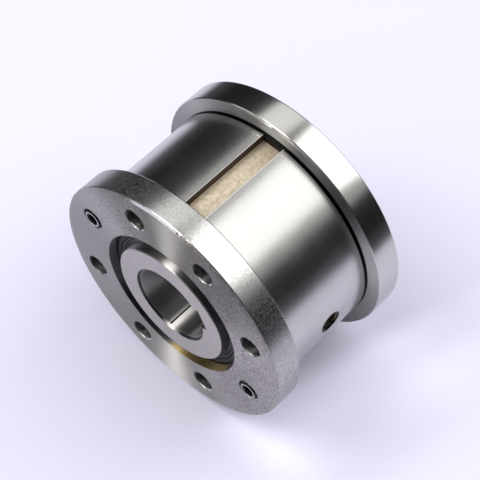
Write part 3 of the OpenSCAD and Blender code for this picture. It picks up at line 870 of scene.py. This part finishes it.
# %% Seal section
LIP_R = HUB_R + 0.05
SEAL_WIDTH = SEAL_FACE - SEAL_BACK
WEB = SEAL_R - LIP_R
WALL, SEAL_CORNER = 1.6, 0.22
SEAL_TURN = np.linspace(0, math.tau, 192 + 1)
LIPS = np.array([[0.38, 0.2], [0.33, 0.35], [0.28, 0.8], [0.05, 0.85], [0, 0.65], [0.2, 0.28], [0.16, 0.18],
                 [0, 0.05], [0.05, 0], [0.25, 0.1], [0.36, 0], [0.46, 0], [0.52, 0.075], [0.68, 0.075],
                 [0.74, 0]])
lip_points = np.stack([LIP_R + LIPS[:, 0] * WEB, SEAL_FACE - LIPS[:, 1] * SEAL_WIDTH], -1)
middle_of_wall = [(SEAL_R, SEAL_FACE - SEAL_WIDTH / 2)]
wall_points = [(SEAL_R, SEAL_BACK), (SEAL_R - WALL, SEAL_BACK), (SEAL_R - WALL, SEAL_FACE - WALL)]
section = np.concatenate([middle_of_wall, wall_points, lip_points, [(SEAL_R, SEAL_FACE)], middle_of_wall])
seal_outline = eased(section, SEAL_CORNER, steps=4)
for name, end in ENDS.items():
    piece(name + "_seal_ring", [turned(seal_outline, SEAL_TURN, end)], "seal_rubber", "housing",
          [name + "_seal"], sharp=60.0)

# %% Garter springs
GARTER_R, COIL_R, WIRE_R, COILS = LIP_R + 0.3 * WEB + 0.75, 0.54, 0.15, 360
GARTER_PLACE = SEAL_FACE - 0.62 * SEAL_WIDTH
COIL_STEPS, GARTER_WIRE_STEPS = 10, 6


def garter(end):
    """A circle of radius WIRE_R round the path (GARTER_R + COIL_R cos Nt) outwards and COIL_R sin Nt along
    the axis, with t once round the ring. The circle lies in the plane of the coil's own radius and the
    ring's tangent."""
    t = np.linspace(0, math.tau, COILS * COIL_STEPS + 1)[:, None]
    turn = np.linspace(0, math.tau, GARTER_WIRE_STEPS + 1)[None, :]
    reach = COIL_R + WIRE_R * np.cos(turn)
    radius = GARTER_R + reach * np.cos(COILS * t)
    place = GARTER_PLACE + reach * np.sin(COILS * t)
    angle = t + WIRE_R * np.sin(turn) / GARTER_R
    return on_axis(radius, angle, place * end), np.stack(np.broadcast_arrays(t, turn), -1)


for name, end in ENDS.items():
    piece(name + "_garter_coil", [garter(end)], "spring_steel", "housing", [name + "_garter_spring"],
          sharp=80.0)

# %% [markdown]
# ## Cap screws
# A socket-head screw has a knurled head, a hexagon socket and a rolled thread. All of it is one surface
# round the screw's own axis whose radius depends on the angle: the knurl is a cosine wave, the socket a
# hexagon's radius, and the thread a wave that climbs with the angle. Modelling the thread as a helix of its
# own would give a seam along the shank.

# %% Screw surface
HEAD_R, HEX_W, HEX_DEPTH, SCREW_STEPS = 5.0, 5.0, 3.0, 216
SHANK_R, SHANK_LEN, PLAIN_LEN, TIP, SHANK_STEPS = 2.95, 20.0, 5.0, 0.3, 170
PITCH, THREAD, RUN_OUT = 1.0, 0.55, 0.8
KNURLS, KNURL = 36, 0.09
SCREW_PLACES = (3, 7)


def screw(hole, end):
    """Radius and height by angle and step. Head and socket: rings of set radius, hexagon rings at
    (HEX_W/2) / cos(distance to the nearest flat's middle). Shank: SHANK_R minus a wave of depth THREAD
    that climbs PITCH in each turn."""
    turn = np.linspace(0, math.tau, SCREW_STEPS + 1)[:, None]
    flat = math.tau / 6
    hexagon = (HEX_W / 2) / np.cos((turn + flat / 2) % flat - flat / 2)
    knurl = HEAD_R - KNURL * (0.5 + 0.5 * np.cos(KNURLS * turn))
    top = SCREW_TOP
    ones = np.ones_like(turn)
    rings = [
        (0 * ones, top - HEX_DEPTH - 0.9),
        (0.9 * hexagon, top - HEX_DEPTH),
        (hexagon, top - HEX_DEPTH + 0.05),
        (hexagon, top - 0.75),
        (3.2 * ones, top - 0.4),
        (3.6 * ones, top),
        ((HEAD_R - 1.0) * ones, top),
        ((HEAD_R - 0.75) * ones, top - 0.08),
        ((HEAD_R - 0.3) * ones, top - 0.6),
        (knurl, top - 1.0),
        (knurl, HEAD_SEAT + 0.5),
        ((HEAD_R - 0.15) * ones, HEAD_SEAT + 0.3),
        ((HEAD_R - 0.3) * ones, HEAD_SEAT),
        (SHANK_R * ones, HEAD_SEAT)]
    down = np.linspace(TIP, SHANK_LEN - TIP, SHANK_STEPS)
    wave = np.abs(((down[None, :] / PITCH + turn / math.tau) % 1) * 2 - 1)
    fade = np.clip(np.minimum(down - PLAIN_LEN, SHANK_LEN - down) / RUN_OUT, 0, 1)[None, :]
    thread = SHANK_R - THREAD * np.clip(1.15 * wave - 0.1, 0, 1) * fade
    tip = HEAD_SEAT - SHANK_LEN
    radius = np.concatenate([r for r, _ in rings] + [thread, (SHANK_R - 0.5) * ones, 0 * ones], 1)
    height = np.concatenate([[h for _, h in rings], HEAD_SEAT - down, [tip, tip]])[None, :]
    middle = (hole + 0.5) * SECTOR
    x, y = BOLT_R + radius * np.cos(turn), radius * np.sin(turn)
    uv = np.stack(np.broadcast_arrays(turn / math.tau, height * UV_PER_MM), -1)
    return on_axis(np.hypot(x, y), np.arctan2(y, x) + middle, height * end), uv


for name, end in ENDS.items():
    piece(name + "_cap_screws", [screw(hole, end) for hole in SCREW_PLACES], "screw_steel", "housing",
          [name + "_screws"])

# %% [markdown]
# ## Roller springs
# Behind every roller a small coil spring pushes a plunger, which keeps the roller in its wedge. The coil is
# a circle carried along a helix whose pitch closes up at both ends, as on a real compression spring. When
# the clutch lets go and the roller moves back, the coil gets shorter; here each coil keeps one length and
# rides on the hub.

# %% Coil springs
POCKET_FIRST, ROLLERS = 49.5, 8
SPRING_BOTTOM, SPRING_TOP, SPRING_Y = -11.0032, -2.7032, 37.9597
SPRING_R, SPRING_WIRE, TURNS, TRAVEL = 1.175, 0.225, 7.0, 1.5
CLOSE_ENDS, TURN_STEPS, WIRE_STEPS = 0.85, 28, 10
spring_length = SPRING_TOP - SPRING_BOTTOM


def in_pocket(x, y, z, k):
    """From a pocket's own frame, x along the wedge and y outwards, to the part's frame."""
    turn = math.radians(POCKET_FIRST + 360 / ROLLERS * (k - 1) - 90)
    x, y, z = np.broadcast_arrays(x, y, z)
    c, s = math.cos(turn), math.sin(turn)
    return np.stack([x * c - y * s, -z, x * s + y * c], -1) * MM


def coil(k):
    """A circle of radius SPRING_WIRE along the helix (rise(t), SPRING_R cos Nt, SPRING_R sin Nt). rise is
    the share t of the length minus a sine, so that the end turns lie close. The circle shrinks to a
    point at both ends."""
    t = np.linspace(0, 1, int(TURNS * TURN_STEPS) + 1)[:, None]
    turn = np.linspace(0, math.tau, WIRE_STEPS + 1)[None, :]
    share = t - CLOSE_ENDS * np.sin(math.tau * t) / math.tau
    rise = SPRING_BOTTOM + SPRING_WIRE + (spring_length - 2 * SPRING_WIRE) * share
    wire = np.where((t == 0) | (t == 1), 0.0, SPRING_WIRE)
    reach = SPRING_R + wire * np.cos(turn)
    angle = math.tau * TURNS * t
    y, z = SPRING_Y + reach * np.cos(angle), reach * np.sin(angle)
    points = in_pocket(rise + wire * np.sin(turn), y, z, k)
    return points, np.stack(np.broadcast_arrays(t, turn / math.tau), -1)


for k in range(1, ROLLERS + 1):
    made = piece(f"roller_coil_{k}", [coil(k)], "spring_steel", "hub", [f"roller_spring_{k}"], sharp=70.0)
    bottom = in_pocket(SPRING_BOTTOM, SPRING_Y, 0.0, k)
    way = in_pocket(SPRING_TOP, SPRING_Y, 0.0, k) - bottom
    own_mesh(made)
